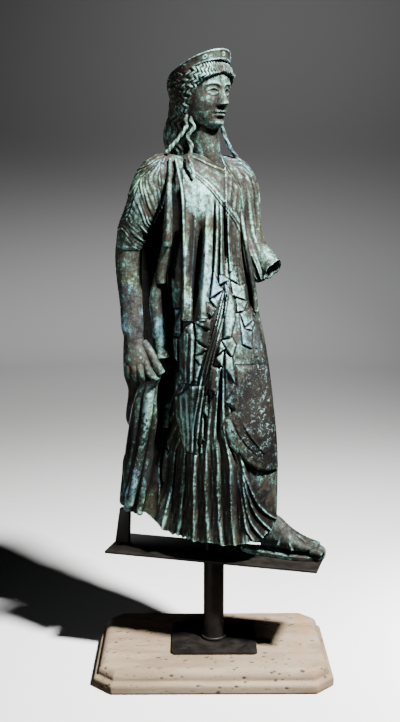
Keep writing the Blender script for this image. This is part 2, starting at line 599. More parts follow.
def eyes(x, h):
    side = np.abs(x) - EYE["side"]
    ball = 3.4 * dome(np.hypot(side / 12, (h - 63) / 8.4), 1, 0.5)
    arch = dome(side, 9.4)
    upper, lower = EYE["height"] + 4.2 * arch, EYE["height"] - 3.2 * arch
    opened = smooth(h - lower, -0.4, 0.4) * (1 - smooth(h - upper, -0.4, 0.4)) * smooth(arch, 0, 0.15)
    rims = smooth(arch, 0, 0.12) * (bump((h - upper - 0.9) / 1.3) + 0.6 * bump((h - lower + 0.8) / 1.2))
    brow = EYE["brow"] + 4.2 * dome(np.abs(x) - 19, 16)
    ridge = 2 * bump((h - brow) / 3.4) * smooth(np.abs(x), 2, 9) * (1 - smooth(np.abs(x), 29, 36))
    iris = 0.5 * bump(np.hypot(side / 3.1, (h - EYE["height"] - 1) / 3.1) ** 4)
    return ball - 1.1 * opened + rims + ridge - iris


def lips(x, h):
    bow = 0.6 * bump((np.abs(x) - 4) / 3)
    upper = 3.6 * bump((h - LIPS["upper"] - bow) / 3) * dome(x, 13.5, 0.6)
    lower = 4.2 * bump((h - LIPS["lower"]) / 3.2) * dome(x, 11, 0.6)
    parting = 3.2 * bump(h - LIPS["parting"] + 0.006 * x * x) * dome(x, 14.5, 0.5)
    return upper + lower - parting


def face_relief(x, h):
    return nose(x, h) + eyes(x, h) + lips(x, h) + sum(mound(x, h, *form) for form in FACE_FORMS)


def hair_relief(turn, h):
    """Crimped strands falling from the crown, thickest over the temples."""
    away = np.degrees(np.abs(turn)) - curve(FACE_EDGE, h)
    grown = smooth(away, -3, 7) * smooth(h, 4, 22)
    along = turn * HAIR["radius"] + HAIR["strand"] / 2 + 0.16 * h * np.sin(turn * 2)
    along = along + 1.7 * np.sin(h * 0.46 + 1.6 * np.sin(turn * 7))
    strand = np.abs(np.sin(along * math.pi / HAIR["strand"]))
    fine = np.abs(np.sin(along * math.pi / HAIR["fine"] + 0.6))
    crimp = 0.5 + 0.5 * np.sin(h * 0.62 + 4 * np.sin(np.floor(along / HAIR["strand"]) * 2.4))
    roll = smooth(away, -2, 20) * (1 - 0.5 * smooth(away, 22, 50))
    return grown * (1.4 + 4 * roll + 4.2 * strand**0.8 * (0.65 + 0.35 * crimp) + 0.5 * fine)


def skull(columns, rows):
    close, blunt = 0.05, 2.3

    def place(u, v):
        turn = (u - 0.5) * 2 * math.pi
        rise = unit((v - close) / (1 - 2 * close))
        h = mix(SKULL[0][0], SKULL[-1][0], rise)
        half, ahead, behind = spline(SKULL, h).T
        across, along = np.sin(turn), np.cos(turn)
        scale = (np.abs(across) ** blunt + np.abs(along) ** blunt) ** (-1 / blunt)
        x, y = half * across * scale, np.where(along > 0, ahead, behind) * along * scale
        grow = 1 + hair_relief(turn, h) / np.maximum(np.hypot(x, y), 12)
        draw = np.sin(from_ends(v, close) * math.pi / 2)
        y = (y * grow + smooth(along, 0.05, 0.45) * face_relief(x, h)) * draw
        x = x * grow * draw
        z = h + 3 * (1 - draw) * np.sign(rise - 0.5)
        roof = CROWN["height"] + CROWN["slope"] * y
        z = np.where(z > roof, roof + (z - roof) * 0.25, z)
        return turned_to(np.stack([-x, y, z], axis=1), **HEAD)

    return wrap(columns, rows, place)


def diadem(columns, rows):
    """A tilted band with raised edges and a row of roundels, closed all round the head."""
    def place(u, v):
        turn, loop = (u - 0.5) * 2 * math.pi, v * 2 * math.pi
        along = np.cos(turn)
        x = DIADEM["width"] * np.sin(turn)
        y = np.where(along > 0, DIADEM["front"], DIADEM["back"]) * along - 4
        up = np.clip(np.sin(loop) * 1.35, -1, 1)
        rise = up * DIADEM["tall"] * (0.86 + 0.2 * along) / 2
        z = DIADEM["height"] + np.where(y > 0, DIADEM["front_slope"], DIADEM["back_slope"]) * y + rise
        thick = DIADEM["thick"] * unit(np.abs(np.cos(loop)) * 2.2) / 2
        rim = 0.9 * bump((np.abs(up) - 0.8) / 0.12)
        radius = np.hypot(x, y)
        disc = np.zeros(u.shape)
        for degrees in ROUNDELS:
            away = np.hypot((turn - math.radians(degrees)) * radius, rise) / 3.9
            disc = np.maximum(disc, 1.5 * bump(away**3) - 1.1 * bump((away / 0.5) ** 4))
        out = 1 + (np.where(np.cos(loop) < 0, -thick, thick + rim + disc) + 0.5 * up) / radius
        return turned_to(np.stack([-x * out, y * out, z], axis=1), **HEAD)

    return wrap(columns, rows, place, ring=True)


def strand_relief(angle, t, here):
    return 0.5 * np.sin(2 * angle + t * 7)


def nape_relief(angle, t, here):
    wave = 1.2 * np.sin(here[:, 2] * 0.2)
    return 2.2 * np.abs(np.sin(angle * 7 + wave)) + 0.7 * np.abs(np.sin(angle * 21 + wave * 2)) - 1


def head_parts(fine):
    parts = [skull(*((520, 420) if fine else (260, 210))), diadem(*((360, 60) if fine else (200, 36)))]
    parts += [loft(NECK, 72, 60), loft(NAPE, 220 if fine else 110, 120, relief=nape_relief)]
    return parts + [loft(rows, 24, 90, relief=strand_relief) for rows in LOCKS]


# Right hand, closed on a fold of cloth: back of the hand, fingers from the little finger, thumb.
PALM = [
    [-140, -60, 630, 15, 12], [-137, -64, 612, 18, 13], [-132, -68, 594, 23, 13], [-127, -70, 579, 25, 12],
]
FINGERS = [
    [[-147, -64, 594, 6.5, 7], [-149, -70, 576, 6.5, 7], [-147, -67, 563, 6, 6.5],
     [-142, -56, 562, 5.5, 5.5]],
    [[-139, -68, 594, 7, 7.5], [-139, -76, 574, 7, 7.5], [-136, -72, 560, 6.5, 7], [-131, -60, 560, 6, 6]],
    [[-130, -70, 592, 7, 7.5], [-128, -79, 573, 7, 7.5], [-124, -75, 558, 6.5, 7], [-119, -62, 558, 6, 6]],
    [[-120, -71, 592, 7, 7.5], [-114, -80, 574, 7, 7.5], [-105, -79, 562, 6.5, 7], [-96, -73, 560, 6, 6]],
]
THUMB = [[-124, -62, 622, 8, 8], [-111, -70, 602, 8.5, 8.5], [-101, -76, 584, 8, 8], [-91, -79, 568, 7, 7]]
GRIPPED = [[-96, -70, 576, 5, 7], [-100, -66, 562, 7, 9], [-106, -58, 546, 7, 10]]


def arm_parts():
    parts = [loft(RIGHT_FOREARM, 72, 110, cap=0.06), loft(PALM, 48, 40, cap=0.25)]
    parts += [loft(rows, 28, 44, cap=0.16) for rows in FINGERS]
    return parts + [loft(THUMB, 30, 44, cap=0.14), loft(GRIPPED, 24, 40, cap=0.2)]


# Foot, in its own frame: x forward from the heel, y to the figure's left, millimetres above the plate.
FOOT = {"turn": math.radians(-17.5), "x": 66, "y": -3, "middle": 66, "sole": 9}
FOOT_BODY = [
    [2, 0, 28, 20, 22], [22, 0, 40, 22, 34], [44, 0, 36, 22, 32], [70, 0, 26, 23, 22], [98, 1, 17, 25, 14],
    [122, 2, 13, 24, 9], [132, 2, 12, 21, 7],
]
TOES = [[-17, 137, 7, 7], [-6, 141, 7, 7], [3.5, 138, 6, 6], [12, 133, 5.5, 6], [19.5, 126, 5.5, 6]]
STRAPS = [
    [[62, -24, 18], [70, -10, 40], [80, 2, 38], [90, 24, 16]],
    [[90, -27, 12], [78, -14, 32], [70, 4, 40], [62, 24, 18]],
    [[112, -12, 24], [100, -8, 32], [82, -4, 40], [66, 0, 49]],
]
# Half width of the sole along the foot, and its edge from below: share of the way, spread, height.
SOLE_WIDTH = [[-14, 17], [20, 20], [60, 23], [100, 28], [146, 22]]
SOLE_EDGE = [[0, 0, 0], [0.1, 0.96, 0], [0.16, 1, 1], [0.3, 1.02, 4], [0.5, 1, 4.8], [0.62, 1.03, 5.6],
             [0.82, 1.02, 8], [0.88, 0.97, 9], [1, 0, 9]]


def sole():
    """A shoe sole, thick and square edged."""
    share, spreads, heights = np.transpose(SOLE_EDGE)

    def place(u, v):
        angle = u * 2 * math.pi
        across, along = np.sin(angle), np.cos(angle)
        x = 78 * np.sign(along) * np.abs(along) ** 0.8
        y = curve(SOLE_WIDTH, FOOT["middle"] + x) * np.sign(across) * np.abs(across) ** 0.72 + 1
        spread = np.interp(v, share, spreads)
        z = np.interp(v, share, heights)
        return np.stack([FOOT["middle"] + x * spread, y * spread, z], axis=1)
    return wrap(160, 60, place)


def foot_parts():
    lift = FOOT["sole"]
    rows = [[x, y, z + lift, a, b] for x, y, z, a, b in FOOT_BODY]
    parts = [sole(), loft(rows, 60, 80, across=(0, 1, 0))]
    for y, x, radius, tall in TOES:
        toe = [[x - 16, y, lift + 9, radius, tall], [x - 4, y, lift + 9, radius, tall]]
        toe.append([x + 6, y, lift + 5, radius, 5])
        parts.append(loft(toe, 28, 36, across=(0, 1, 0), cap=0.2))
    parts += [loft([[x, y, z + lift - 2, 3, 4.5] for x, y, z in line], 20, 50) for line in STRAPS]
    for bm in parts:
        points = np.array([vertex.co[:] for vertex in bm.verts]) / MM
        points = turned_to(points, FOOT["turn"], FOOT["x"], FOOT["y"], PLATE_TOP + 0.3)
        for vertex, point in zip(bm.verts, points):
            vertex.co = point * MM
        bmesh.ops.recalc_face_normals(bm, faces=bm.faces)
    return parts


def sleeve_relief(angle, t, here):
    """Soft folds that run from the shoulder to the elbow."""
    return 1.6 * np.sin(angle * 8 + 1.2 * np.sin(t * 1.1)) * smooth(t, 1, 2.5) + 0.6 * np.sin(angle * 19 + t)


def drapery_parts(fine):
    parts = [draped_body(*((840, 920) if fine else (420, 460))), loft(RIGHT_SLEEVE, 120, 120, cap=0.1)]
    parts.append(loft(LEFT_SLEEVE, 160, 160, relief=sleeve_relief, cap=0.1))
    return parts + [loft(rows, 40, 90, cap=0.03) for rows in HANGING_FOLDS]


# Gathers of the sleeve: pitch, depth, and how the folds lean on the shoulder and above the hem.
GATHER = {"pitch": 5.2, "depth": 2.6, "upper": (0.90, 0.43), "lower": (0.62, 0.78), "turns": (812, 868)}


def gathered(place, normals):
    """Fine folds that fall slantwise from the buttoned edge of the sleeve and bunch up above its hem."""
    x, y, z = place.T
    hem = 806 - 0.9 * (x + 148)
    sleeve = (1 - smooth(x, -92, -72)) * smooth(z, hem - 16, hem) * (1 - smooth(z, 938, 954))
    sleeve *= (1 - smooth(normals[:, 1], 0.2, 0.8)) * smooth(x, -76, -86) * (y > -100)
    sleeve = np.where((y < -74) & (x > -92) | (x > -100) & (z < 830), 0, sleeve)
    high = smooth(z, *GATHER["turns"])
    lean_x, lean_z = (mix(low, top, high) for low, top in zip(GATHER["lower"], GATHER["upper"]))
    side = x - line_x(BUTTONS, z)
    sway = 2.5 * np.sin((x - z) * 0.06) + 1.2 * np.sin(x * 0.21)
    across = (np.abs(side) * lean_x + (z - 840) * lean_z + sway) / GATHER["pitch"]
    number = np.floor(across)
    crest = np.sin(unit(across - number) * math.pi) ** 0.8
    along = (z * 0.9 - x * 0.5) / 26 + hashed(number + 3) * 6
    tall = (0.3 + 0.7 * hashed(number)) * (0.55 + 0.45 * np.sin(along * 2))
    seam = 1.4 * bump(side / 1.6) * (z < 925)
    return sleeve * (GATHER["depth"] * (crest * tall + 0.25) - seam)


def held_cloth(place, normals):
    """Long ridges of the mantle that fall from the hand, and its rounded outer folds."""
    ridges = sum(stroke(place[:, 0], place[:, 2], *ridge) for ridge in HELD_RIDGES)
    return ridges * (1 - smooth(normals[:, 1], -0.1, 0.3))


def object_of(name, bm):
    """Hands a finished shape over to an object of its own."""
    mesh = bpy.data.meshes.new(name)
    bm.to_mesh(mesh)
    bm.free()
    obj = bpy.data.objects.new(name, mesh)
    bpy.context.scene.collection.objects.link(obj)
    return obj


def applied(obj):
    """The object with its modifiers made part of its mesh."""
    depsgraph = bpy.context.evaluated_depsgraph_get()
    mesh = bpy.data.meshes.new_from_object(obj.evaluated_get(depsgraph))
    old = obj.data
    obj.modifiers.clear()
    obj.data = mesh
    mesh.name = obj.name
    bpy.data.meshes.remove(old)
    return obj


def cast(name, parts, voxel):
    """Joins closed skins into one body, as if cast in one pour."""
    whole = bmesh.new()
    for bm in parts:
        part = bpy.data.meshes.new("part")
        bm.to_mesh(part)
        bm.free()
        whole.from_mesh(part)
        bpy.data.meshes.remove(part)
    obj = object_of(name, whole)
    remesh = obj.modifiers.new("cast", "REMESH")
    remesh.mode = "VOXEL"
    remesh.voxel_size = voxel * MM
    remesh.use_smooth_shade = True
    return applied(obj)


def thin(obj, triangles):
    """Thins a mesh to a number of triangles, keeping its sharp forms."""
    count = len(obj.data.polygons) * 2
    if count > triangles:
        fewer = obj.modifiers.new("thin", "DECIMATE")
        fewer.ratio = triangles / count
        applied(obj)
    return obj


def evened(values, edges, rounds):
    """Values at the vertices, averaged with their neighbours a number of times."""
    count = len(values)
    near, far = np.concatenate([edges, edges[:, ::-1]]).T
    share = np.maximum(np.bincount(near, minlength=count), 1)
    columns = values.T.copy()
    for _ in range(rounds):
        for k, column in enumerate(columns):
            columns[k] = 0.5 * column + 0.5 * np.bincount(near, weights=column[far], minlength=count) / share
    return columns.T


def push(mesh, distance):
    """Moves each vertex along its normal, in millimetres."""
    place_points(mesh, points_of(mesh) + normals_of(mesh) * (distance * MM)[:, None])


def keep(mesh, name, values):
    layer = mesh.attributes.new(name, "FLOAT", "POINT")
    layer.data.foreach_set("value", values.astype(np.float32))


# Patina areas: centre in millimetres, radii, strength.
AREAS = {
    "pale_area": [
        (-10, -80, 880, (60, 60, 60), 1.0), (-140, -70, 880, (30, 60, 60), 0.45),
        (-20, -80, 740, (40, 50, 110), 0.9), (30, -80, 700, (40, 50, 90), 0.7),
        (-50, -80, 480, (30, 60, 60), 0.9), (5, -60, 980, (40, 40, 30), 0.6),
        (0, -50, 1080, (50, 60, 50), 0.5), (0, -80, 600, (50, 60, 50), 0.4), (98, 10, 762, (24, 30, 30), 0.7),
        (-150, -60, 700, (26, 40, 90), 0.45), (-94, -50, 632, (18, 40, 42), 0.9),
    ],
    "brown_area": [
        (100, -60, 495, (92, 110, 135), 1.2), (-8, -90, 600, (18, 50, 120), 1.1),
        (-125, -20, 430, (50, 70, 130), 0.7), (6, -50, 938, (30, 40, 16), 0.8),
        (-36, -85, 770, (11, 40, 95), 0.9), (-90, -60, 380, (60, 80, 80), 0.5),
        (42, -60, 770, (12, 40, 70), 0.6), (64, -30, 735, (14, 40, 90), 0.9),
        (30, -90, 340, (120, 80, 60), 0.55), (-150, -40, 700, (30, 40, 120), 0.3),
    ],
    "fleck_area": [(100, -60, 495, (100, 110, 140), 1.0)],
    "dark_area": [
        (-130, 40, 700, (60, 90, 300), 0.8), (0, 90, 650, (160, 70, 360), 0.5),
        (-60, 30, 1010, (30, 40, 60), 0.8), (-60, 0, 1060, (36, 60, 50), 0.6),
        (8, -36, 1086, (34, 30, 14), 0.7), (-46, -34, 1066, (24, 24, 34), 0.6),
        (-92, -55, 745, (20, 40, 60), 0.8), (-150, -30, 850, (36, 60, 60), 0.75),
        (-79, -85, 830, (12, 40, 60), 0.5), (-150, -30, 640, (24, 40, 40), 0.4),
        (110, 20, 560, (50, 80, 200), 0.4),
    ],
}


def weather(obj):
    """Stores how far each point stands proud of its surroundings, and how much of each patina it has."""
    mesh = obj.data
    points, normals = points_of(mesh), normals_of(mesh)
    edges = read(mesh.edges, "vertices", 2, np.int32)
    near = evened(points, edges, 4)
    wide = evened(near, edges, 24)
    for name, around, reach in (("edge_wear", near, 0.5), ("proud", wide, 3.0)):
        keep(mesh, name, unit(0.5 + np.sum((points - around) * normals, axis=1) / (reach * MM)))
    for name, spots in AREAS.items():
        amount = np.zeros(len(points))
        for *centre, radii, strength in spots:
            away = np.linalg.norm((points / MM - centre) / radii, axis=1)
            amount = np.maximum(amount, strength * (1 - smooth(away, 0.4, 1.1)))
        keep(mesh, name, amount)


class Value:
    """A value in a material. Arithmetic on it adds Math nodes."""

    def __init__(self, finish, socket):
        self.finish = finish
        self.socket = socket

    def math(self, operation, first, second):
        return self.finish.node("ShaderNodeMath", {"operation": operation}, {0: first, 1: second})

    def __add__(self, other):
        return self.math("ADD", self, other)

    def __sub__(self, other):
        return self.math("SUBTRACT", self, other)

    def __rsub__(self, other):
        return self.math("SUBTRACT", other, self)

    def __mul__(self, other):
        return self.math("MULTIPLY", self, other)

    __radd__ = __add__
    __rmul__ = __mul__

    def between(self, low, high):
        """0 below low, 1 above high, a smooth step between."""
        step = {"interpolation_type": "SMOOTHSTEP"}
        return self.finish.node("ShaderNodeMapRange", step, {0: self, 1: low, 2: high})


class Finish:
    """One material and the nodes that make it."""

    def __init__(self, name, metallic=0.0, specular=0.0):
        self.material = bpy.data.materials.new(name)
        self.material.use_nodes = True
        self.tree = self.material.node_tree
        self.shader = self.tree.nodes["Principled BSDF"]
        self.shader.inputs["Metallic"].default_value = metallic
        self.shader.inputs["Specular IOR Level"].default_value = specular
        self.place = self.node("ShaderNodeTexCoord", output="Object")

    def node(self, kind, settings=None, sockets=None, output=0):
        node = self.tree.nodes.new(kind)
        for name, value in (settings or {}).items():
            setattr(node, name, value)
        for key, value in (sockets or {}).items():
            self.feed(node.inputs[key], value)
        return Value(self, node.outputs[output])

    def feed(self, socket, value):
        if isinstance(value, Value):
            self.tree.links.new(value.socket, socket)
        elif socket.type == "RGBA":
            socket.default_value = (*value, 1)
        else:
            socket.default_value = value

    def noise(self, scale, detail=3.0, roughness=0.5, stretch=(1, 1, 1), distortion=0.0):
        place = self.node("ShaderNodeMapping", {}, {"Vector": self.place, "Scale": stretch})
        return self.node("ShaderNodeTexNoise", {}, {"Vector": place, "Scale": scale, "Detail": detail,
                                                    "Roughness": roughness, "Distortion": distortion})

    def stored(self, name):
        return self.node("ShaderNodeAttribute", {"attribute_name": name}, {}, "Fac")

    def blend(self, amount, first, second, kind="MIX"):
        settings = {"data_type": "RGBA", "blend_type": kind}
        return self.node("ShaderNodeMix", settings, {0: amount, 6: first, 7: second}, 2)

    def bump(self, height, distance, strength):
        sockets = {"Height": height, "Distance": distance * MM, "Strength": strength}
        return self.node("ShaderNodeBump", {}, sockets)

    def finish(self, color, roughness, normal=None):
        self.feed(self.shader.inputs["Base Color"], color)
        self.feed(self.shader.inputs["Roughness"], roughness)
        if normal:
            self.feed(self.shader.inputs["Normal"], normal)
        return self.material


# Colours of the patina from the hollows up to the edges, each with the two levels between which it comes in.
PATINA = [
    (-0.7, -0.25, (0.022, 0.023, 0.017)), (-0.2, 0.1, (0.030, 0.052, 0.041)),
    (0.12, 0.4, (0.085, 0.19, 0.165)), (0.45, 0.95, (0.24, 0.415, 0.41)),
]
BRONZE = {
    "hollow": (0.004, 0.0035, 0.003), "blue tint": (0.80, 0.84, 1.15), "ochre tint": (1.15, 1.05, 0.72),
    "earth": (0.030, 0.0215, 0.0155), "black": (0.0045, 0.0043, 0.0043), "brown": (0.0125, 0.0104, 0.0089),
    "fleck": (0.18, 0.28, 0.275), "spot": (0.007, 0.006, 0.006),
}
STEEL = {"dark": (0.004, 0.0034, 0.003), "light": (0.013, 0.0105, 0.0085), "rust": (0.012, 0.009, 0.007)}
TRAVERTINE = {
    "warm": (0.185, 0.135, 0.086), "sand": (0.270, 0.208, 0.140), "pale": (0.315, 0.25, 0.18),
    "ochre": (0.28, 0.15, 0.058), "pore": (0.11, 0.078, 0.05), "deep": (0.020, 0.013, 0.008),
}
BACKDROP = {
    "centre": (1.4, -0.3, 0.0), "near": (0.88, 0.88, 0.90), "far": (0.40, 0.40, 0.405),
    "wall": (0.125, 0.125, 0.127),
}


def bronze_material():
    f = Finish("bronze_patina", 0.15, 0.22)
    wear, proud = f.stored("edge_wear"), f.stored("proud")
    brown_area = f.stored("brown_area")
    cloud = f.noise(11, 4, 0.6)
    blotch = f.noise(48, 5, 0.65, distortion=0.8)
    mottle = f.noise(150, 5, 0.72)
    speck = f.noise(420, 4, 0.75)
    streak = f.noise(110, 4, 0.6, (1, 1, 0.14))
    level = f.stored("pale_area") * 0.6 - f.stored("dark_area") * 0.6 - brown_area * 0.25 - 0.3
    for part, weight in (
            (wear, 0.9), (proud, 1.1), (blotch, 2.3), (mottle, 2.4),
            (streak, 1.4), (cloud, 1.3), (speck, 1.6)):
        level = level + (part - 0.5) * weight
    color = BRONZE["hollow"]
    for low, high, tone in PATINA:
        color = f.blend(level.between(low, high), color, tone)
    color = f.blend(f.noise(9, 3, 0.5).between(0.52, 0.64) * 0.8, color, BRONZE["blue tint"], "MULTIPLY")
    color = f.blend(f.noise(13, 3, 0.5).between(0.54, 0.66) * 0.8, color, BRONZE["ochre tint"], "MULTIPLY")
    earth = f.noise(23, 5, 0.65, distortion=0.5).between(0.5, 0.66) * (1 - level.between(0.15, 0.6))
    color = f.blend(earth * 0.75, color, BRONZE["earth"])
    bare = brown_area + (blotch - 0.5) * 1.6 - (mottle - 0.5) * 1.4 - (speck - 0.5) * 1.2
    bare = bare.between(0.42, 0.56)
    brown = f.blend(cloud.between(0.4, 0.62), BRONZE["black"], BRONZE["brown"])
    flecks = f.noise(130, 6, 0.8, distortion=0.9).between(0.54, 0.62) * f.noise(26, 4, 0.6).between(0.42, 0.6)
    brown = f.blend(flecks * f.stored("fleck_area"), brown, BRONZE["fleck"])
    color = f.blend(bare * 0.92, color, brown)
    spots = f.noise(210, 4, 0.7).between(0.60, 0.66) * level.between(-0.1, 0.5)
    color = f.blend(spots * 0.8, color, BRONZE["spot"])
    color = f.blend((1 - proud.between(0.02, 0.4)) * 0.75, color, BRONZE["hollow"])
    return f.finish(color, 0.66 - bare * 0.2, f.bump(blotch * 0.5 + mottle * 0.5 + speck * 0.3, 1.2, 0.9))


def steel_material():
    f = Finish("blackened_steel", specular=0.2)
    blotch, grain = f.noise(40, 5, 0.6), f.noise(400, 3, 0.7)
    color = f.blend(blotch.between(0.35, 0.7), STEEL["dark"], STEEL["light"])
    color = f.blend(grain.between(0.62, 0.8) * 0.5, color, STEEL["rust"])
    return f.finish(color, 0.38 + blotch * 0.25, f.bump(grain * 0.5 + blotch, 0.25, 0.6))


def stone_material():
    f = Finish("travertine", specular=0.25)
    cloud, bed, grain = f.noise(9, 4, 0.6), f.noise(26, 5, 0.6, (0.25, 1.0, 2.4)), f.noise(700, 3, 0.6)
    pores = f.noise(330, 3, 0.5, (0.55, 1.0, 1.4)).between(0.66, 0.74)
    ochre = f.stored("ochre_area") * f.noise(60, 4, 0.6, (1, 0.6, 1)).between(0.35, 0.7)
    crack = f.stored("crack") * f.noise(90, 3, 0.6).between(0.4, 0.5)
    color = f.blend(bed.between(0.35, 0.65), TRAVERTINE["warm"], TRAVERTINE["sand"])
    for amount, tone in (
            (cloud.between(0.5, 0.72) * 0.5, "pale"), (ochre * 0.6, "ochre"), (pores * 0.55, "pore"),
            (crack * 0.8, "deep"), (f.stored("pit") * 0.9, "deep")):
        color = f.blend(amount, color, TRAVERTINE[tone])
    return f.finish(color, 0.72, f.bump(grain * 0.3 - pores, 0.5, 0.7))


def backdrop_material():
    """Pale where the object stands, greyer up the wall and further out."""
    f = Finish("backdrop")
    shifted = f.node("ShaderNodeVectorMath", {"operation": "SUBTRACT"}, {0: f.place, 1: BACKDROP["centre"]})
    away = f.node("ShaderNodeVectorMath", {"operation": "LENGTH"}, {0: shifted}, "Value")
    height = f.node("ShaderNodeSeparateXYZ", {}, {0: f.place}, "Z")
    color = f.blend(away.between(0.8, 3.4), BACKDROP["near"], BACKDROP["far"])
    return f.finish(f.blend(height.between(0.0, 1.15), color, BACKDROP["wall"]), 0.95)


# Stand, from the CAD pieces' own boxes. Its pits, crack and ochre streak are in millimetres.
PLATE_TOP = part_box("support_plate")[1].z / MM
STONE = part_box("travertine_base")
STONE_CLIP = 34
STONE_TOP = STONE[1].z / MM
STONE_LEDGE = {"height": 20, "round": 7, "width": 9}
STONE_ROUND = 15
PITS = 4200
CRACK = {"y": -22, "left": -150, "right": -88}
OCHRE = {"x": 172, "half": 26}


def surface(obj, material, slot, *nodes):
    """Gives a finished piece its material, body, slot and the CAD pieces that it stands for."""
    obj.data.materials.clear()
    obj.data.materials.append(material)
    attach(obj, "root")
    if nodes:
        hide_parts(*nodes)
    return obj


def stone_outline(inset, height):
    """The eight corners of the clipped rectangle, drawn in by an inset, all in millimetres."""
    x, y = STONE[1].x / MM - inset, STONE[1].y / MM - inset
    clip = STONE_CLIP - inset * (2 - math.sqrt(2))
    quarter = [(x, y - clip), (x - clip, y)]
    corners = quarter + [(-a, b) for a, b in reversed(quarter)]
    return [Vector((a, b, height)) * MM for a, b in corners + [(-a, -b) for a, b in corners]]


def quarter_round(steps, radius):
    """How far a quarter circle has come across and up, at each of its steps."""
    angles = [k / steps * math.pi / 2 for k in range(1, steps + 1)]
    return [(radius * (1 - math.cos(angle)), radius * math.sin(angle)) for angle in angles]


def pit_surface(mesh):
    """Open pores along the stone's beds, a short crack on the left and an ochre streak on the right."""
    points = points_of(mesh) / MM
    x, y, z = points.T
    random = np.random.default_rng(7)
    centres = points[random.integers(0, len(points), PITS)]
    across, along, up = centres.T
    beds = 0.5 + 0.5 * np.sin(along * 0.16 + 1.3 * np.sin(across * 0.013) + up * 0.4)
    centres = centres[random.random(PITS) < 0.25 + 0.75 * beds**2]
    depth = np.zeros(len(points))
    sizes = 0.55 + 1.9 * random.random(len(centres)) ** 5
    for centre, size in zip(centres, sizes):
        near = np.flatnonzero((np.abs(x - centre[0]) < size * 2.5) & (np.abs(y - centre[1]) < 4))
        away = np.linalg.norm((points[near] - centre) / (size * 1.7, size, size), axis=1)
        depth[near] = np.maximum(depth[near], unit(1.25 - away) * size * 0.8)
    depth[z < 2] = 0
    push(mesh, -depth)
    keep(mesh, "pit", unit(depth / 0.9))
    crack = np.abs(y - CRACK["y"] - 2.5 * np.sin(x * 0.11) - 0.02 * x)
    cracked = (x > CRACK["left"]) & (x < CRACK["right"]) & (z > STONE_TOP - 2)
    keep(mesh, "crack", np.where(cracked, unit(1 - crack / 1.5), 0))
    keep(mesh, "ochre_area", unit(1 - np.abs(x - OCHRE["x"] - 10 * np.sin(y * 0.03)) / OCHRE["half"]))


def stone_block(fine):
    """A block with clipped corners: a low ledge with a rounded edge, and a slab with a wider round on it."""
    ledge, ledge_round = STONE_LEDGE["height"], STONE_LEDGE["round"]
    step, ovolo = STONE_LEDGE["width"], STONE_ROUND
    profile = [(1, 0), (0, 2), (0, ledge - ledge_round)]
    profile += [(inset, ledge - ledge_round + rise) for inset, rise in quarter_round(4, ledge_round)]
    profile += [(step, ledge), (step, STONE_TOP - ovolo)]
    profile += [(step + inset, STONE_TOP - ovolo + rise) for inset, rise in quarter_round(8, ovolo)]
    bm = bmesh.new()
    rings = []
    for inset, height in profile:
        loop = [bm.verts.new(corner) for corner in stone_outline(inset, height)]
        rings.append([bm.edges.new((a, b)) for a, b in zip(loop, loop[1:] + loop[:1])])
    for lower, upper in zip(rings, rings[1:]):
        bmesh.ops.bridge_loops(bm, edges=lower + upper)
    for ends in (rings[0], rings[-1]):
        bmesh.ops.contextual_create(bm, geom=ends)
    bmesh.ops.recalc_face_normals(bm, faces=bm.faces)
    obj = cast("travertine_block", [bm], 1.75 if fine else 3.0)
    pit_surface(obj.data)
    return obj


def solid_piece(name, bm):
    """A piece with smooth faces that meet sharply where they turn by more than 40 degrees."""
    bmesh.ops.recalc_face_normals(bm, faces=bm.faces)
    for face in bm.faces:
        face.smooth = True
    for edge in bm.edges:
        edge.smooth = not edge.is_manifold or edge.calc_face_angle() < math.radians(40)
    return object_of(name, bm)


def rounded(node, name, width):
    """A steel piece with the CAD piece's shape and its edges eased."""
    bm = bmesh.new()
    bm.from_mesh(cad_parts[node].data)
    bmesh.ops.remove_doubles(bm, verts=bm.verts, dist=1e-6)
    bmesh.ops.dissolve_limit(bm, angle_limit=math.radians(1), verts=bm.verts, edges=bm.edges)
    sharp = [edge for edge in bm.edges if edge.is_manifold and edge.calc_face_angle() > math.radians(28)]
    bmesh.ops.bevel(bm, geom=sharp, offset=width * MM, offset_type="OFFSET", segments=3, profile=0.5,
                    affect="EDGES", material=-1, clamp_overlap=True)
    bmesh.ops.triangulate(bm, faces=[face for face in bm.faces if len(face.verts) > 4])
    return solid_piece(name, bm)


def turned(name, profile, x, y, sides=72):
    """A round piece from a profile of radius and height, spun about an upright axis."""
    bm = bmesh.new()
    loop = [bm.verts.new((radius * MM, 0, height * MM)) for radius, height in profile]
    edges = [bm.edges.new(pair) for pair in zip(loop, loop[1:])]
    bmesh.ops.spin(bm, geom=loop + edges, cent=(0, 0, 0), axis=(0, 0, 1), angle=2 * math.pi, steps=sides,
                   use_merge=True)
    bmesh.ops.remove_doubles(bm, verts=bm.verts, dist=1e-6)
    bmesh.ops.translate(bm, verts=bm.verts, vec=(x * MM, y * MM, 0))
    return solid_piece(name, bm)


def upright(node):
    """Centre, radius, foot and top of a round CAD piece, in millimetres."""
    low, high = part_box(node)
    measures = (low.x + high.x) / 2, (low.y + high.y) / 2, (high.x - low.x) / 2, low.z, high.z
    return [value / MM for value in measures]


def weld_bead(name, node):
    """A lumpy fillet of weld where the post meets the flange."""
    x, y, outer, base, top = upright(node)
    inner = upright("post")[2] + 0.2

    def place(u, v):
        turn, loop = u * 2 * math.pi, v * 2 * math.pi
        ripple = 0.35 * np.abs(np.sin(turn * 19)) + 0.3 * np.sin(turn * 3 + 1)
        across = (outer - inner - 0.6) / 2 + ripple * (np.cos(loop) > 0)
        radius = (outer + inner) / 2 - 0.2 + across * np.cos(loop)
        z = np.maximum((base + top) / 2 + (top - base) / 2 * np.sin(loop), base)
        return np.stack([x + radius * np.cos(turn), y + radius * np.sin(turn), z], axis=1)

    return solid_piece(name, wrap(160, 20, place, ring=True))


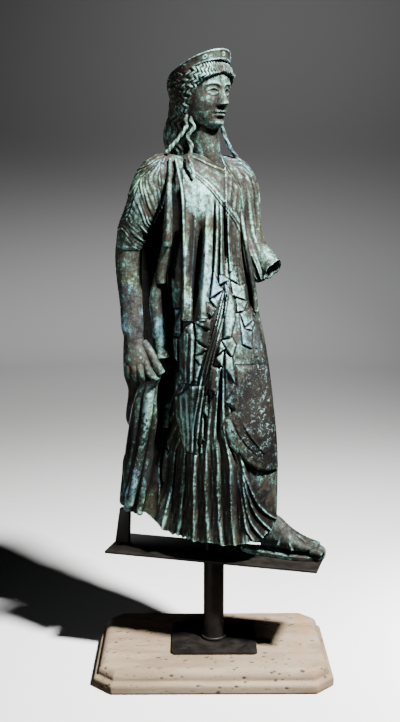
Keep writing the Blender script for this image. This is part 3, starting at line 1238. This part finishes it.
def screw_head(name, node):
    """A low cap screw with a round socket."""
    x, y, radius, base, top = upright(node)
    bm = bmesh.new()
    bmesh.ops.create_cone(bm, cap_ends=True, segments=36, radius1=radius * MM, radius2=radius * MM,
                          depth=(top - base) * MM)
    bmesh.ops.translate(bm, verts=bm.verts, vec=(x * MM, y * MM, (base + top) / 2 * MM))
    crown = max(bm.faces, key=lambda face: face.calc_center_median().z)
    rim = list(crown.edges)
    bmesh.ops.inset_individual(bm, faces=[crown], thickness=(radius - 2.8) * MM)
    bmesh.ops.inset_individual(bm, faces=[crown], thickness=0.2 * MM, depth=-2 * MM)
    bmesh.ops.bevel(bm, geom=rim, offset=0.9 * MM, offset_type="OFFSET", segments=4, profile=0.5,
                    affect="EDGES", material=-1)
    return solid_piece(name, bm)


def stand_pieces(steel):
    x, y, radius, base, top = upright("post")
    ease = 1.2
    profile = [(0, base), (radius - ease, base), (radius, base + ease)]
    profile += [(radius, top - ease), (radius - ease, top), (0, top)]
    surface(turned("steel_post", profile, x, y), steel, "black_steel", "post")
    surface(weld_bead("weld_bead", "post_collar"), steel, "black_steel", "post_collar")
    for node, name, width in (("support_plate", "steel_plate", 0.9), ("flange_plate", "steel_flange", 0.9),
                              ("rear_prop", "steel_prop", 1.2)):
        surface(rounded(node, name, width), steel, "black_steel", node)
    x, y, radius, base, top = upright("hem_pin")
    profile = [(0, base), (radius, base), (radius, top - 1), (radius - 1, top), (0, top)]
    surface(turned("steel_pin", profile, x, y, 40), steel, "black_steel", "hem_pin")
    for k in range(1, 5):
        surface(screw_head(f"cap_screw_{k}", f"flange_screw_{k}"), steel, "black_steel", f"flange_screw_{k}")


def halves(obj):
    """The body cut level in two, each half closed, at the height that shares its faces evenly."""
    whole = obj.data
    level = sorted(face.center.z for face in whole.polygons)[len(whole.polygons) // 2]
    pieces = []
    for name, up in (("goddess_skirt", False), ("goddess_mantle", True)):
        bm = bmesh.new()
        bm.from_mesh(whole)
        cut = bmesh.ops.bisect_plane(bm, geom=bm.verts[:] + bm.edges[:] + bm.faces[:], plane_co=(0, 0, level),
                                     plane_no=(0, 0, 1), clear_outer=not up, clear_inner=up)["geom_cut"]
        rim = [part for part in cut if isinstance(part, bmesh.types.BMEdge)]
        lid = bmesh.ops.triangle_fill(bm, edges=rim)["geom"]
        for part in rim + [part for part in lid if isinstance(part, bmesh.types.BMFace)]:
            part.smooth = False
        bmesh.ops.recalc_face_normals(bm, faces=bm.faces)
        pieces.append(object_of(name, bm))
    bpy.data.objects.remove(obj)
    bpy.data.meshes.remove(whole)
    return pieces


def figure_pieces(fine):
    bronze = bronze_material()
    body = cast("goddess_drapery", drapery_parts(fine), 1.2 if fine else 2.4)
    place, normals = points_of(body.data) / MM, normals_of(body.data)
    push(body.data, gathered(place, normals) + held_cloth(place, normals))
    pieces = [thin(body, 390000 if fine else 150000)]
    stub = [loft(LEFT_STUB, 120, 140, across=(0, 1, 0), hollow=0.4)]
    for name, parts, voxel, most in (
            ("goddess_head", head_parts(fine), 0.85, 160000), ("goddess_right_arm", arm_parts(), 0.8, 70000),
            ("goddess_left_arm", stub, 0.9, 40000), ("goddess_foot", foot_parts(), 0.8, 60000)):
        pieces.append(thin(cast(name, parts, voxel if fine else 1.6), most))
    for piece in pieces:
        weather(piece)
    for piece in halves(body) + pieces[1:]:
        surface(piece, bronze, "bronze", "goddess_figure")


# Studio. Each lamp: place, target, size, power, spread in degrees, colour.
WHITE = (1, 1, 1)
LAMPS = {
    "key": ((1.15, -1.15, 2.65), (0, 0, 0.6), 0.30, 108, 80, (1, 0.985, 0.96)),
    "fill": ((-1.5, -1.6, 0.32), (0, 0, 0.9), 0.5, 3.3, 60, WHITE),
    "wall": ((0.7, 2.0, 3.0), (0, 4.1, 0.6), 0.8, 25, 90, WHITE),
    "back": ((-0.5, 1.8, 0.35), (0, 0, 1), 0.6, 2.5, 45, WHITE),
    "wash": ((1.15, 0.1, 2.4), (1, 0, 0), 0.4, 22, 35, WHITE),
}
CAMERA = {"place": (-0.038, -1.965, 0.923), "tilt": 80.0, "turn": -0.41, "lens": 54.85}


def backdrop():
    """A pale round floor that sweeps up into a grey wall on every side."""
    floor, radius, height = 3200, 1000, 4200
    sweep = [(floor + up, across) for across, up in quarter_round(12, radius)]
    obj = turned("backdrop", [(0, 0), (floor, 0)] + sweep + [(floor + radius, height)], 0, 0, 96)
    obj.data.materials.append(backdrop_material())
    obj.visible_diffuse = False
    obj.visible_glossy = False


def stood(name, data, place):
    obj = bpy.data.objects.new(name, data)
    obj.location = place
    bpy.context.scene.collection.objects.link(obj)
    return obj


def studio():
    backdrop()
    for name, (place, target, size, power, spread, color) in LAMPS.items():
        light = bpy.data.lights.new(name, "AREA")
        light.shape = "DISK"
        light.size = size
        light.energy = power
        light.spread = math.radians(spread)
        light.color = color
        turn = (Vector(target) - Vector(place)).to_track_quat("-Z", "Y")
        stood(name, light, place).rotation_euler = turn.to_euler()
    world = bpy.data.worlds.new("studio")
    world.use_nodes = True
    sky = world.node_tree.nodes["Background"].inputs
    sky["Color"].default_value = (0.75, 0.8, 0.85, 1)
    sky["Strength"].default_value = 0.004
    bpy.context.scene.world = world
    camera = bpy.data.cameras.new("camera")
    camera.lens = CAMERA["lens"]
    camera.sensor_width = 36
    obj = stood("camera", camera, CAMERA["place"])
    obj.rotation_euler = (math.radians(CAMERA["tilt"]), 0, math.radians(CAMERA["turn"]))
    bpy.context.scene.camera = obj


fine_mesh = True
studio()
figure_pieces(fine_mesh)
stand_pieces(steel_material())
surface(stone_block(fine_mesh), stone_material(), "travertine", "travertine_base")

bpy.context.view_layer.update()
